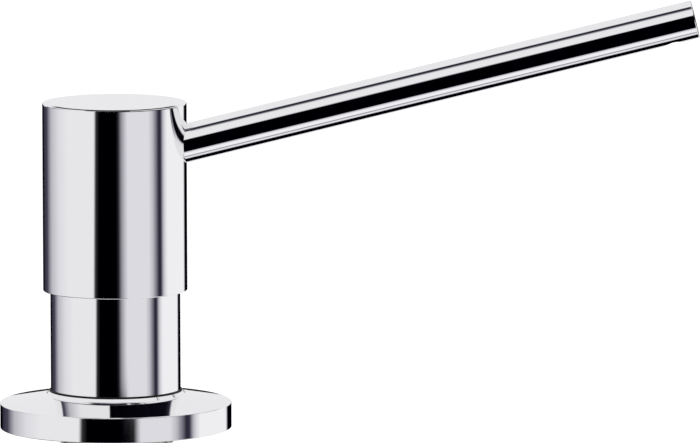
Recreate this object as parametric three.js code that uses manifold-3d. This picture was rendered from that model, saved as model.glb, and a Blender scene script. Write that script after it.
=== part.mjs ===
// A deck-mounted sink soap dispenser: a chromed press-down head with a long rising spout,
// a neck and a round base on the deck, and the pump, clamp and bottle that hang below it.
// Millimetres, +Z up. The origin is on the deck surface at the axis, and the spout points along +X.

import * as THREE from "three";
import { mergeVertices } from "three/addons/utils/BufferGeometryUtils.js";
import Module from "manifold-3d";

const wasm = await Module();
wasm.setup();

// Clearances
const fitGap = 0.3; // round a piece that sits or slides in another
const strokeGap = 0.7; // left above a stop when the head is pressed right down
const ballGap = 0.3; // between a ball and its seat
const cutOver = 1; // how far a cutter runs past the faces it cuts
const mergeReach = 0.0001; // corners closer than this are one corner

// Faces round a full turn
const wideSides = 56;
const midSides = 32;
const smallSides = 20;
const ballSides = 12;
const ballRings = 8;
const sealSectionSides = 6;
const filletSteps = 3;

// Pump stroke and the check balls
const pumpStroke = 13;
const inletBallR = 3;
const inletLift = 2;
const outletBallR = 1.9;
const outletLift = 1.4;

// Neck, the fixed sleeve that the head slides over
const neckSocketWall = 1.23; // of its foot round the shank
const neckWall = 1.45;
const neckFootZ = 4;
const neckTopZ = 40.5;
const neckEdge = 0.4;
const ledgeTopZ = 28;
const ledgeHeight = 6;

// Base flange
const flangeR = 25;
const rimHeight = 5.45;
const rimFillet = 0.3;
const footEdge = 0.15;
const coneTopZ = 7.15;
const lipWall = 0.14; // at its top
const lipSpread = 0.68; // wider at its foot
const lipTopZ = 8.03;
const lipEdge = 0.08;
const ringGap = 0.05; // round the ring between the neck and the flange
const ringDepth = 1.5; // down into the flange
const ringHeight = 0.38; // over the lip
const gasketShankClear = 1.6; // from the hole for the shank out to the gasket
const gasketInset = 2.4; // from the flange's edge in to the gasket's
const gasketThickness = 1.2;

// Threaded shank and what clamps on it
const shankWall = 2.5;
const shankClear = 1.5; // between the pump's cylinder and the shank's bore
const shankBottomZ = -58;
const shankEdge = 0.8;
const deckThickness = 20;
const padOuterR = 24;
const padThickness = 2;
const plateOuterR = 23;
const plateThickness = 1.5;
const nutHeight = 10;
const nutHubR = 17;
const nutFlangeR = 21;
const nutFlangeHeight = 2.5;
const wingCount = 4;
const wingTipR = 27;
const wingThickness = 4.5;
const wingRound = 3;

// Press-down head
const headSlideGap = 0.33;
const headWall = 1.22;
const headTopWall = 3;
const headOverlap = 10.63;
const headLength = 40.8;
const headEdge = 0.38;

// Spout
const spoutR = 4.18;
const spoutWall = 1.4;
const spoutTilt = THREE.MathUtils.degToRad(13.73);
const spoutDrop = 12.68; // from the head's top down to where the two axes cross
const spoutReach = 125.2; // from the head's axis out to the middle of the end face
const spoutSocketDepth = 6.58; // how deep the tube sits in the core
const spoutEdge = 0.2;
const tipPlugLength = 2;
const outletR = 2.2;
const outletSetback = 4.8;
const sealSectionR = 0.45;
const sealSeat = 0.8; // depth of the groove a seal lies in
const sealWidth = 1.3;
const spoutSealFromRoot = 2.7;

// Core inside the head
const coreHubR = 9;
const channelR = 2;
const riserR = 1.5;
const snapBeadOut = 0.45;
const snapBeadHeight = 1;
const snapDrop = 3; // below the stem's top
const bypassWidth = 1.2;
const bypassHeight = 1;

// Stem and piston
const stemR = 4;
const stemDrop = 3.2; // stem's top below the crossing of the two axes
const stemBoreR = 1.3;
const outletChamberR = 2.35;
const stemSealDrop = 6.6;
const spigotR = 3;
const spigotRimOut = 0.6;
const spigotRimHeight = 1.2;
const pistonLength = 7.7;
const pistonSealR = 0.65;

// Pump cylinder and closure
const cylinderBoreR = 6.5;
const cylinderWall = 2;
const cylinderFlangeClear = 0.4; // inside the neck's bore
const cylinderFlangeHeight = 1.4;
const cylinderFloorZ = -12;
const closureGasketThickness = 1;
const closureThickness = 1.5;
const closureSleeveLength = 10.4;
const ledgeClear = 1.8; // between the cylinder and the hole in the neck's ledge
const valveHouseR = 5.5;
const valvePocketR = 3.5;
const valveFloor = 1.2;
const tailR = 2.2;
const tailBoreR = 1.2;
const tailLength = 10;
const tailEdge = 0.3;
const cageThickness = 1.4;
const cageBossClear = 0.95; // inside the spring
const cageBossHeight = 1;
const cageHoleR = 0.9;
const cageHoleAt = 2.3;
const cageHoleCount = 4;

// Return spring
const springWireR = 0.45;
const springClear = 0.65; // between the wire and the cylinder
const springTurns = 9;
const springEndPitch = 1.5;
const springSteps = 8;
const springSides = 5;

// Dip tube
const tubeWall = 1;
const tubeBottomZ = -178;

// Bottle
const bottleR = 32;
const bottleWall = 1.6;
const bottleMouthZ = -44;
const bottleBottomZ = -186;
const bottleNeckWall = 2.2;
const bottleLedge = 2.2; // how far the ledge reaches in from the mouth's bore
const bottleThroatHeight = 4;
const bottleSealThickness = 2;
const bottleShoulder = 13;
const bottleBaseRound = 5;
const bottlePushUp = 2;
const collarOut = 1.8;
const collarHeight = 2.4;
const collarDrop = 5;

// Sizes and heights that follow
const cylinderR = cylinderBoreR + cylinderWall;
const shankBoreR = cylinderR + shankClear;
const shankR = shankBoreR + shankWall;
const shankPassR = shankR + fitGap;
const neckR = shankPassR + neckSocketWall;
const neckPocketR = neckR + fitGap;
const neckBoreR = neckR - neckWall;
const lipTopR = neckPocketR + lipWall;
const lipBaseR = lipTopR + lipSpread;
const gasketInnerR = shankPassR + gasketShankClear;
const gasketOuterR = flangeR - gasketInset;
const headBoreR = neckR + headSlideGap;
const headR = headBoreR + headWall;
const headBottomZ = neckTopZ - headOverlap;
const headTopZ = headBottomZ + headLength;
const headRoofZ = headTopZ - headTopWall;
const crossingZ = headTopZ - spoutDrop;
const spoutBoreR = spoutR - spoutWall;
const spoutSocketR = spoutR + fitGap;
const spoutEnd = spoutReach / Math.cos(spoutTilt);
const stemTopZ = crossingZ - stemDrop;
const stemBoreTopZ = stemTopZ + fitGap;
const stemPassR = stemR + fitGap;
const closureGasketZ = ledgeTopZ;
const cylinderTopZ = closureGasketZ + closureGasketThickness + cylinderFlangeHeight;
const closureTopZ = cylinderTopZ + closureThickness;
const pistonTopZ = cylinderTopZ - closureSleeveLength - fitGap;
const pistonBottomZ = pistonTopZ - pistonLength;
const pistonR = cylinderBoreR - fitGap;
const coreR = headBoreR - fitGap;
const spoutRoot = coreR - spoutSocketDepth; // where the tube starts, along its own axis
const spoutSealAt = spoutRoot + spoutSealFromRoot;
const coreTopZ = headRoofZ - fitGap;
const coreStepZ = neckTopZ + pumpStroke + strokeGap;
const coreHubZ = closureTopZ + pumpStroke + strokeGap;
const cylinderFlangeR = neckBoreR - cylinderFlangeClear;
const springMeanR = cylinderBoreR - springClear - springWireR;
const cageBossR = springMeanR - springWireR - cageBossClear;
const inletRestZ = cylinderFloorZ - fitGap - inletLift - inletBallR;
const valveSeatZ = inletRestZ - seatedRise(tailBoreR, inletBallR);
const valveHouseZ = valveSeatZ - valveFloor;
const tailBottomZ = valveHouseZ - tailLength;
const outletRestZ = stemTopZ - outletLift - outletBallR;
const outletSeatZ = outletRestZ - seatedRise(stemBoreR, outletBallR);
const padTopZ = -deckThickness;
const plateTopZ = padTopZ - padThickness;
const nutTopZ = plateTopZ - plateThickness;
const bottleLedgeZ = shankBottomZ - bottleSealThickness;
const bottleThroatR = shankPassR - bottleLedge;

// Colours and finishes
const chrome = new THREE.MeshStandardMaterial({ color: 0xe4e4e8, roughness: 0.04, metalness: 1 });
const steel = new THREE.MeshStandardMaterial({ color: 0xb4b5b8, roughness: 0.3, metalness: 1 });
const whitePlastic = new THREE.MeshStandardMaterial({ color: 0xf0efeb, roughness: 0.45 });
const blackPlastic = new THREE.MeshStandardMaterial({ color: 0x26272a, roughness: 0.5 });
const blackRubber = new THREE.MeshStandardMaterial({ color: 0x1a1a1b, roughness: 0.8 });
const milkyPlastic = new THREE.MeshStandardMaterial({ color: 0xe6eae6, roughness: 0.4 });

// A closed geometry as a solid, with shared corners merged and every face turned outwards.
function solidOf(geometry) {
  const bare = geometry.clone();
  bare.deleteAttribute("normal");
  bare.deleteAttribute("uv");
  const merged = mergeVertices(bare, mergeReach);
  const place = merged.getAttribute("position");
  const corners = merged.index.array;
  const faces = [];
  const a = new THREE.Vector3();
  const b = new THREE.Vector3();
  const c = new THREE.Vector3();
  let volume = 0;
  for (let i = 0; i < corners.length; i += 3) {
    const [p, q, r] = corners.subarray(i, i + 3);
    if (p === q || q === r || r === p) continue;
    faces.push([p, q, r]);
    a.fromBufferAttribute(place, p);
    b.fromBufferAttribute(place, q);
    c.fromBufferAttribute(place, r);
    volume += a.dot(b.cross(c));
  }
  const outward = volume > 0 ? faces : faces.map(([p, q, r]) => [r, q, p]);
  return new wasm.Manifold(
    new wasm.Mesh({
      numProp: 3,
      vertProperties: new Float32Array(place.array),
      triVerts: new Uint32Array(outward.flat()),
    }),
  );
}

function geometryOf(solid) {
  const mesh = solid.getMesh();
  const geometry = new THREE.BufferGeometry();
  geometry.setAttribute("position", new THREE.BufferAttribute(mesh.vertProperties, 3));
  geometry.setIndex(new THREE.BufferAttribute(mesh.triVerts, 1));
  geometry.computeVertexNormals();
  return geometry;
}

// A turned piece: the [radius, height] outline revolved about Z, closed on itself off the axis.
function turned(outline, sides) {
  const points = outline.map(([r, z]) => new THREE.Vector2(r, z));
  const onAxis = outline[0][0] === 0 && outline.at(-1)[0] === 0;
  if (!onAxis) points.push(points[0].clone());
  const geometry = new THREE.LatheGeometry(points, sides);
  geometry.rotateX(Math.PI / 2);
  return solidOf(geometry);
}

function ring(innerR, outerR, bottomZ, topZ, sides) {
  const outline = [
    [innerR, bottomZ],
    [outerR, bottomZ],
    [outerR, topZ],
    [innerR, topZ],
  ];
  return turned(outline, sides);
}

function rod(radius, bottomZ, topZ, sides) {
  const outline = [
    [0, bottomZ],
    [radius, bottomZ],
    [radius, topZ],
    [0, topZ],
  ];
  return turned(outline, sides);
}

// Points of a round corner about a centre, from one angle to another, in degrees.
function corner(centreR, centreZ, radius, from, to) {
  const points = [];
  for (let i = 0; i <= filletSteps; i++) {
    const turn = THREE.MathUtils.degToRad(from + ((to - from) * i) / filletSteps);
    points.push([centreR + radius * Math.cos(turn), centreZ + radius * Math.sin(turn)]);
  }
  return points;
}

function sealRing(meanR, sectionR, centreZ) {
  const geometry = new THREE.TorusGeometry(meanR, sectionR, sealSectionSides, smallSides);
  geometry.translate(0, 0, centreZ);
  return solidOf(geometry);
}

// Height of a ball's centre above the foot of the 45 degree seat that it rests on.
function seatedRise(boreR, ballR) {
  return Math.SQRT2 * (ballR + ballGap) - boreR;
}

// A rod along the spout's axis, in a frame whose origin lies baseZ above the deck.
function spoutRod(radius, from, to, baseZ, sides) {
  return rod(radius, from, to, sides).transform(
    new THREE.Matrix4()
      .makeTranslation(0, 0, crossingZ - baseZ)
      .multiply(new THREE.Matrix4().makeRotationY(Math.PI / 2 - spoutTilt))
      .toArray(),
  );
}

// Base flange: a low cone with a filleted rim, a lip round the neck and a recess for the gasket.
function baseFlange() {
  const recessInnerR = gasketInnerR - fitGap;
  const recessOuterR = gasketOuterR + fitGap;
  return turned(
    [
      [shankPassR, 0],
      [recessInnerR, 0],
      [recessInnerR, gasketThickness],
      [recessOuterR, gasketThickness],
      [recessOuterR, 0],
      [flangeR - footEdge, 0],
      [flangeR, footEdge],
      ...corner(flangeR - rimFillet, rimHeight - rimFillet, rimFillet, 0, 90),
      [lipBaseR, coneTopZ],
      [lipTopR, lipTopZ - lipEdge],
      [lipTopR - lipEdge, lipTopZ],
      [neckPocketR, lipTopZ],
      [neckPocketR, neckFootZ],
      [shankPassR, neckFootZ],
    ],
    wideSides,
  );
}

// Ring that closes the gap round the neck's foot, seen as a thin black line.
function neckRing() {
  const innerR = neckR + ringGap;
  const pocketR = neckPocketR - ringGap;
  return turned(
    [
      [innerR, lipTopZ - ringDepth],
      [pocketR, lipTopZ - ringDepth],
      [pocketR, lipTopZ + ringGap],
      [lipTopR - lipEdge, lipTopZ + ringGap],
      [innerR, lipTopZ + ringHeight],
    ],
    wideSides,
  );
}

function flangeGasket() {
  return ring(gasketInnerR, gasketOuterR, 0, gasketThickness, midSides);
}

// Neck: a thin sleeve with an inner ledge for the pump and a socket for the shank below it.
function neckSleeve() {
  const top = neckTopZ - neckFootZ;
  const ledgeTop = ledgeTopZ - neckFootZ;
  const ledgeBottom = ledgeTop - ledgeHeight;
  const ledgeHoleR = cylinderR + ledgeClear;
  return turned(
    [
      [shankPassR, 0],
      [neckR, 0],
      [neckR, top - neckEdge],
      [neckR - neckEdge, top],
      [neckBoreR, top],
      [neckBoreR, ledgeTop],
      [ledgeHoleR, ledgeTop],
      [ledgeHoleR, ledgeBottom],
      [shankPassR, ledgeBottom],
    ],
    wideSides,
  );
}

function threadedShank() {
  const top = ledgeTopZ - ledgeHeight - shankBottomZ;
  return turned(
    [
      [shankBoreR, 0],
      [shankR - shankEdge, 0],
      [shankR, shankEdge],
      [shankR, top - shankEdge],
      [shankR - shankEdge, top],
      [shankBoreR, top],
    ],
    midSides,
  );
}

function deckPad() {
  return ring(shankPassR, padOuterR, -padThickness, 0, midSides);
}

function clampPlate() {
  return ring(shankPassR, plateOuterR, -plateThickness, 0, midSides);
}

// One wing of the nut: a plate from the hub out to its tip, its lower outer corner rounded.
function nutWing(turn) {
  const wingRootR = (shankPassR + nutHubR) / 2;
  const shape = new THREE.Shape();
  shape.moveTo(wingRootR, 0);
  shape.lineTo(wingTipR, 0);
  shape.lineTo(wingTipR, wingRound - nutHeight);
  shape.absarc(wingTipR - wingRound, wingRound - nutHeight, wingRound, 0, -Math.PI / 2, true);
  shape.lineTo(wingRootR, -nutHeight);
  const geometry = new THREE.ExtrudeGeometry(shape, {
    depth: wingThickness,
    bevelEnabled: false,
    curveSegments: filletSteps,
  });
  geometry.translate(0, 0, -wingThickness / 2);
  geometry.rotateX(Math.PI / 2);
  geometry.rotateZ(turn);
  return solidOf(geometry);
}

// Mounting nut: a flanged hub with wings to turn it by hand from below.
function mountingNut() {
  let nut = turned(
    [
      [shankPassR, -nutHeight],
      [nutHubR, -nutHeight],
      [nutHubR, -nutFlangeHeight],
      [nutFlangeR, -nutFlangeHeight],
      [nutFlangeR, 0],
      [shankPassR, 0],
    ],
    midSides,
  );
  for (let i = 0; i < wingCount; i++) nut = nut.add(nutWing((2 * Math.PI * i) / wingCount));
  return nut;
}

// Head: a deep cap with a softened top edge, open below, with a hole for the spout.
function headSleeve() {
  const cap = turned(
    [
      [headBoreR, 0],
      [headR - headEdge / 2, 0],
      [headR, headEdge / 2],
      ...corner(headR - headEdge, headLength - headEdge, headEdge, 0, 90),
      [0, headLength],
      [0, headRoofZ - headBottomZ],
      [headBoreR, headRoofZ - headBottomZ],
    ],
    wideSides,
  );
  const hole = spoutRod(spoutSocketR, spoutRoot, headR + spoutR + cutOver, headBottomZ, midSides);
  return cap.subtract(hole);
}

// Core: carries the head on the stem and leads the soap from the stem to the spout.
function headCore() {
  const snapTop = stemTopZ - snapDrop + fitGap;
  const snapBottom = snapTop - snapBeadHeight - 2 * fitGap;
  const snapR = stemR + snapBeadOut + fitGap;
  const body = turned(
    [
      [stemPassR, coreHubZ],
      [coreHubR, coreHubZ],
      [coreHubR, coreStepZ],
      [coreR, coreStepZ],
      [coreR, coreTopZ],
      [0, coreTopZ],
      [0, stemBoreTopZ],
      [stemPassR, stemBoreTopZ],
      [stemPassR, snapTop],
      [snapR, snapTop],
      [snapR, snapBottom],
      [stemPassR, snapBottom],
    ],
    midSides,
  );
  const riser = rod(riserR, stemBoreTopZ - cutOver, crossingZ, smallSides);
  const channel = spoutRod(channelR, 0, spoutRoot, 0, smallSides);
  const socket = spoutRod(spoutSocketR, spoutRoot - fitGap, coreR + spoutR + cutOver, 0, midSides);
  const slotBase = stemBoreTopZ - cutOver;
  const slot = new THREE.BoxGeometry(2 * outletChamberR, bypassWidth, bypassHeight + cutOver);
  slot.translate(0, 0, slotBase + (bypassHeight + cutOver) / 2);
  return body.subtract(riser).subtract(channel).subtract(socket).subtract(solidOf(slot));
}

// Spout tube along its own axis, with a seal groove near its root. The outlet under its tip is
// drilled plumb, so that the soap drops straight down.
function spoutTube() {
  const grooveR = spoutR - sealSeat;
  const tube = turned(
    [
      [spoutBoreR, spoutRoot],
      [spoutR, spoutRoot],
      [spoutR, spoutSealAt - sealWidth / 2],
      [grooveR, spoutSealAt - sealWidth / 2],
      [grooveR, spoutSealAt + sealWidth / 2],
      [spoutR, spoutSealAt + sealWidth / 2],
      [spoutR, spoutEnd - spoutEdge],
      [spoutR - spoutEdge, spoutEnd],
      [spoutBoreR, spoutEnd],
    ],
    midSides,
  );
  const outlet = rod(outletR, 0, spoutR + cutOver, smallSides)
    .rotate([0, 90 + THREE.MathUtils.radToDeg(spoutTilt), 0])
    .translate([0, 0, spoutEnd - outletSetback]);
  return tube.subtract(outlet);
}

function spoutTipPlug() {
  return rod(spoutBoreR - fitGap, spoutEnd - tipPlugLength, spoutEnd, midSides);
}

function spoutSeal() {
  return sealRing(spoutR - sealSeat + fitGap / 2 + sealSectionR, sealSectionR, spoutSealAt);
}

// Stem: a hollow rod with a ball seat near its top and a spigot for the piston at its foot.
function stem() {
  const snapTop = stemTopZ - snapDrop;
  const grooveTop = stemTopZ - stemSealDrop;
  const spigotFoot = pistonBottomZ - spigotRimHeight;
  return turned(
    [
      [stemBoreR, spigotFoot],
      [spigotR, spigotFoot],
      [spigotR + spigotRimOut, pistonBottomZ - spigotRimHeight / 2],
      [spigotR + spigotRimOut, pistonBottomZ],
      [spigotR, pistonBottomZ],
      [spigotR, pistonTopZ],
      [stemR, pistonTopZ],
      [stemR, grooveTop - sealWidth],
      [stemR - sealSeat, grooveTop - sealWidth],
      [stemR - sealSeat, grooveTop],
      [stemR, grooveTop],
      [stemR, snapTop - snapBeadHeight],
      [stemR + snapBeadOut, snapTop - snapBeadHeight / 2],
      [stemR, snapTop],
      [stemR, stemTopZ],
      [outletChamberR, stemTopZ],
      [outletChamberR, outletSeatZ + outletChamberR - stemBoreR],
      [stemBoreR, outletSeatZ],
    ],
    smallSides,
  );
}

function stemSeal() {
  const centreZ = stemTopZ - stemSealDrop - sealWidth / 2;
  return sealRing(stemR - sealSeat + fitGap / 2 + sealSectionR, sealSectionR, centreZ);
}

// Piston: a plain plug with one groove for its seal.
function piston() {
  const grooveR = pistonR - 2 * pistonSealR + fitGap / 2;
  const grooveTop = pistonTopZ - pistonLength / 3;
  const grooveBottom = grooveTop - 2 * pistonSealR - fitGap;
  return turned(
    [
      [spigotR + fitGap, pistonBottomZ],
      [pistonR, pistonBottomZ],
      [pistonR, grooveBottom],
      [grooveR, grooveBottom],
      [grooveR, grooveTop],
      [pistonR, grooveTop],
      [pistonR, pistonTopZ],
      [spigotR + fitGap, pistonTopZ],
    ],
    midSides,
  );
}

function pistonSeal() {
  const centreZ = pistonTopZ - pistonLength / 3 - pistonSealR - fitGap / 2;
  return sealRing(cylinderBoreR - fitGap / 4 - pistonSealR, pistonSealR, centreZ);
}

// Return spring: one unbroken wire whose end turns lie closer than its middle ones.
function springHeight(turn, height) {
  const openTurns = springTurns - 2;
  const openPitch = (height - 2 * springEndPitch) / openTurns;
  const fromEnd = Math.min(turn, springTurns - turn);
  const rise = fromEnd < 1 ? fromEnd * springEndPitch : springEndPitch + (fromEnd - 1) * openPitch;
  return turn < springTurns / 2 ? rise : height - rise;
}

function springPoint(turn, height) {
  const angle = 2 * Math.PI * turn;
  return new THREE.Vector3(
    springMeanR * Math.cos(angle),
    springMeanR * Math.sin(angle),
    springHeight(turn, height),
  );
}

function printSpringGap(height) {
  const samplesPerTurn = 4 * springSteps;
  const points = [];
  for (let i = 0; i <= springTurns * samplesPerTurn; i++) {
    points.push(springPoint(i / samplesPerTurn, height));
  }
  let least = Infinity;
  for (let i = 0; i < points.length; i++) {
    for (let j = i + samplesPerTurn / 2; j < points.length; j++) {
      least = Math.min(least, points[i].distanceTo(points[j]) - 2 * springWireR);
    }
  }
  console.log("return spring, least gap to itself: " + least.toFixed(2) + " mm");
}

function returnSpring() {
  const bottomZ = cylinderFloorZ + cageThickness + springWireR + fitGap;
  const height = pistonBottomZ - springWireR - fitGap - bottomZ;
  const corners = [];
  const faces = [];
  const rings = springTurns * springSteps;
  const axis = new THREE.Vector3(0, 0, 1);
  for (let i = 0; i <= rings; i++) {
    const turn = i / springSteps;
    const centre = springPoint(turn, height);
    const outward = new THREE.Vector3(centre.x, centre.y, 0).normalize();
    for (let k = 0; k < springSides; k++) {
      const around = (2 * Math.PI * k) / springSides;
      const corner = centre.clone();
      corner.addScaledVector(outward, springWireR * Math.cos(around));
      corner.addScaledVector(axis, springWireR * Math.sin(around));
      corners.push(corner.x, corner.y, corner.z + bottomZ);
    }
  }
  for (let i = 0; i < rings; i++) {
    for (let k = 0; k < springSides; k++) {
      const next = (k + 1) % springSides;
      const [p, q] = [i * springSides + k, i * springSides + next];
      faces.push(p, q, q + springSides, p, q + springSides, p + springSides);
    }
  }
  for (let k = 1; k < springSides - 1; k++) {
    const last = rings * springSides;
    faces.push(0, k + 1, k, last, last + k, last + k + 1);
  }
  printSpringGap(height);
  const geometry = new THREE.BufferGeometry();
  geometry.setAttribute("position", new THREE.Float32BufferAttribute(corners, 3));
  geometry.setIndex(faces);
  return solidOf(geometry);
}

function ball(radius) {
  return solidOf(new THREE.SphereGeometry(radius, ballSides, ballRings));
}

// Cage over the inlet ball: a disc with a locating boss for the spring and holes for the soap.
function ballCage() {
  let cage = turned(
    [
      [0, 0],
      [cylinderBoreR - fitGap, 0],
      [cylinderBoreR - fitGap, cageThickness],
      [cageBossR, cageThickness],
      [cageBossR, cageThickness + cageBossHeight],
      [0, cageThickness + cageBossHeight],
    ],
    smallSides,
  );
  for (let i = 0; i < cageHoleCount; i++) {
    const turn = (2 * Math.PI * i) / cageHoleCount;
    const top = cageThickness + cageBossHeight + cutOver;
    const hole = rod(cageHoleR, -cutOver, top, smallSides / 2);
    cage = cage.subtract(
      hole.translate([cageHoleAt * Math.cos(turn), cageHoleAt * Math.sin(turn), 0]),
    );
  }
  return cage;
}

// Pump cylinder: a flange that hangs in the neck, the bore, the inlet valve and a barbed tail.
function pumpCylinder() {
  const flangeBottomZ = cylinderTopZ - cylinderFlangeHeight;
  const seatTopZ = valveSeatZ + valvePocketR - tailBoreR;
  return turned(
    [
      [tailBoreR, tailBottomZ],
      [tailR - tailEdge, tailBottomZ],
      [tailR, tailBottomZ + 2 * tailEdge],
      [tailR, valveHouseZ],
      [valveHouseR, valveHouseZ],
      [valveHouseR, cylinderFloorZ - cylinderWall],
      [cylinderR, cylinderFloorZ],
      [cylinderR, flangeBottomZ],
      [cylinderFlangeR, flangeBottomZ],
      [cylinderFlangeR, cylinderTopZ],
      [cylinderBoreR, cylinderTopZ],
      [cylinderBoreR, cylinderFloorZ],
      [valvePocketR, cylinderFloorZ],
      [valvePocketR, seatTopZ],
      [tailBoreR, valveSeatZ],
    ],
    midSides,
  );
}

// Closure: a disc on the cylinder with a sleeve that guides the stem and stops the piston.
function pumpClosure() {
  return turned(
    [
      [stemPassR, -closureSleeveLength],
      [cylinderBoreR - fitGap, -closureSleeveLength],
      [cylinderBoreR - fitGap, 0],
      [cylinderFlangeR, 0],
      [cylinderFlangeR, closureThickness],
      [stemPassR, closureThickness],
    ],
    midSides,
  );
}

function closureGasket() {
  return ring(cylinderR + ledgeClear, cylinderFlangeR, 0, closureGasketThickness, midSides);
}

// Dip tube: pushed over the tail, cut slantwise at its foot so that the floor can't close it.
function dipTube() {
  const tubeBoreR = tailR + fitGap;
  const tubeR = tubeBoreR + tubeWall;
  const length = valveHouseZ - fitGap - tubeBottomZ;
  const tube = ring(tubeBoreR, tubeR, 0, length, smallSides);
  const cutterSize = 4 * tubeR;
  const cutter = new THREE.BoxGeometry(cutterSize, cutterSize, cutterSize);
  cutter.translate(0, 0, -cutterSize / 2);
  cutter.rotateY(Math.PI / 4);
  cutter.translate(0, 0, tubeR);
  return tube.subtract(solidOf(cutter));
}

// Bottle: a blown bottle whose mouth screws on the shank, with a sealing ledge and a thin wall.
function bottle() {
  const mouthBoreR = shankPassR;
  const neckOuterR = mouthBoreR + bottleNeckWall;
  const throatBottomZ = bottleLedgeZ - bottleThroatHeight;
  const innerR = bottleR - bottleWall;
  const shoulderTopZ = throatBottomZ - bottleWall;
  const shoulderZ = shoulderTopZ - bottleShoulder;
  const collarTopZ = bottleMouthZ - collarDrop;
  const floorZ = bottleBottomZ + bottlePushUp + bottleWall;
  const footR = bottleR - bottleBaseRound;
  const steps = 2 * filletSteps;
  const outerShoulder = [];
  const innerShoulder = [];
  for (let i = 0; i <= steps; i++) {
    const turn = (Math.PI / 2) * (i / steps);
    outerShoulder.push([
      neckOuterR + (bottleR - neckOuterR) * Math.cos(turn),
      shoulderZ + bottleShoulder * Math.sin(turn),
    ]);
    innerShoulder.push([
      bottleThroatR + (innerR - bottleThroatR) * Math.sin(turn),
      shoulderZ + (bottleShoulder - bottleWall) * Math.cos(turn),
    ]);
  }
  return turned(
    [
      [0, bottleBottomZ + bottlePushUp],
      [footR - bottlePushUp, bottleBottomZ + bottlePushUp],
      [footR, bottleBottomZ],
      ...corner(footR, bottleBottomZ + bottleBaseRound, bottleBaseRound, -90, 0),
      ...outerShoulder,
      [neckOuterR, collarTopZ - collarHeight],
      [neckOuterR + collarOut, collarTopZ - collarHeight / 2],
      [neckOuterR + collarOut, collarTopZ],
      [neckOuterR, collarTopZ],
      [neckOuterR, bottleMouthZ],
      [mouthBoreR, bottleMouthZ],
      [mouthBoreR, bottleLedgeZ],
      [bottleThroatR, bottleLedgeZ],
      ...innerShoulder,
      ...corner(innerR - bottleBaseRound, floorZ + bottleBaseRound, bottleBaseRound, 0, -90),
      [0, floorZ],
    ].filter(([r, z], i, all) => i === 0 || r !== all[i - 1][0] || z !== all[i - 1][1]),
    midSides,
  );
}

function bottleSeal() {
  return ring(bottleThroatR + fitGap, shankPassR - fitGap, 0, bottleSealThickness, midSides);
}

const dispenser = new THREE.Group();

function add(name, solid, material, height = 0, parent = dispenser) {
  const mesh = new THREE.Mesh(geometryOf(solid), material);
  mesh.name = name;
  mesh.position.z = height;
  parent.add(mesh);
  return mesh;
}

// On the deck
add("base_flange", baseFlange(), chrome);
add("flange_gasket", flangeGasket(), blackRubber);
add("neck_ring", neckRing(), blackRubber);
add("neck_sleeve", neckSleeve(), chrome, neckFootZ);
add("threaded_shank", threadedShank(), steel, shankBottomZ);

// Below the deck
add("deck_pad", deckPad(), blackRubber, padTopZ);
add("clamp_plate", clampPlate(), steel, plateTopZ);
add("mounting_nut", mountingNut(), blackPlastic, nutTopZ);
add("bottle", bottle(), milkyPlastic);
add("bottle_seal", bottleSeal(), blackRubber, bottleLedgeZ);

// Pump
add("closure_gasket", closureGasket(), blackRubber, closureGasketZ);
add("pump_cylinder", pumpCylinder(), whitePlastic);
add("pump_closure", pumpClosure(), whitePlastic, cylinderTopZ);
add("ball_cage", ballCage(), whitePlastic, cylinderFloorZ);
add("inlet_ball", ball(inletBallR), steel, inletRestZ);
add("dip_tube", dipTube(), milkyPlastic, tubeBottomZ);
add("return_spring", returnSpring(), steel);
add("stem", stem(), whitePlastic);
add("stem_seal", stemSeal(), blackRubber);
add("piston", piston(), whitePlastic);
add("piston_seal", pistonSeal(), blackRubber);
add("outlet_ball", ball(outletBallR), steel, outletRestZ);

// Head and spout
add("head_sleeve", headSleeve(), chrome, headBottomZ);
add("head_core", headCore(), whitePlastic);
const spout = new THREE.Group();
spout.position.z = crossingZ;
spout.rotation.y = Math.PI / 2 - spoutTilt;
dispenser.add(spout);
add("spout_tube", spoutTube(), chrome, 0, spout);
add("spout_tip_plug", spoutTipPlug(), chrome, 0, spout);
add("spout_seal", spoutSeal(), blackRubber, 0, spout);

export default dispenser;
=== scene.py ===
import math

import bmesh
import bpy
import numpy as np
from mathutils import Matrix, Vector


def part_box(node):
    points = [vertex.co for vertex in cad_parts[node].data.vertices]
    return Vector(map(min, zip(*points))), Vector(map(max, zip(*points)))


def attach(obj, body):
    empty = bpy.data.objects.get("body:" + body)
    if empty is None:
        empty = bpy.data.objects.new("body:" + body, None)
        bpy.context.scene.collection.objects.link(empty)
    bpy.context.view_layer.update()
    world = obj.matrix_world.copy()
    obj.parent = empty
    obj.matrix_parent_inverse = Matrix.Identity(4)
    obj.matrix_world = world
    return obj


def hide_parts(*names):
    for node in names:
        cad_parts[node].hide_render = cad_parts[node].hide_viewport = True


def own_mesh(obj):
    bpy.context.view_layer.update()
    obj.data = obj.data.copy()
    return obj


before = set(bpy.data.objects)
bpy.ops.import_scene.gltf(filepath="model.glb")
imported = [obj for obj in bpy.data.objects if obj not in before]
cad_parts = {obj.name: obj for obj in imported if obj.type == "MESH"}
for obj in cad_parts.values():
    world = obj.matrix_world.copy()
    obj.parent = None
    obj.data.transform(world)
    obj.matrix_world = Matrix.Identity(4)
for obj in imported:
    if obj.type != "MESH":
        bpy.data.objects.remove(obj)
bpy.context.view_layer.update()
scene = bpy.context.scene
MM = 0.001
MERGE = 2e-6  # metres within which two corners of a mesh are one
NEAR = 1e-6  # millimetres within which two points of an outline are one, or lie on the axis
TINY = 1e-9  # keeps a division by a length from failing at zero

# Corners round a turned piece
WIDE_SIDES = 256
TUBE_SIDES = 160
MID_SIDES = 128
SMALL_SIDES = 96
HOSE_SIDES = 64

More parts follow.
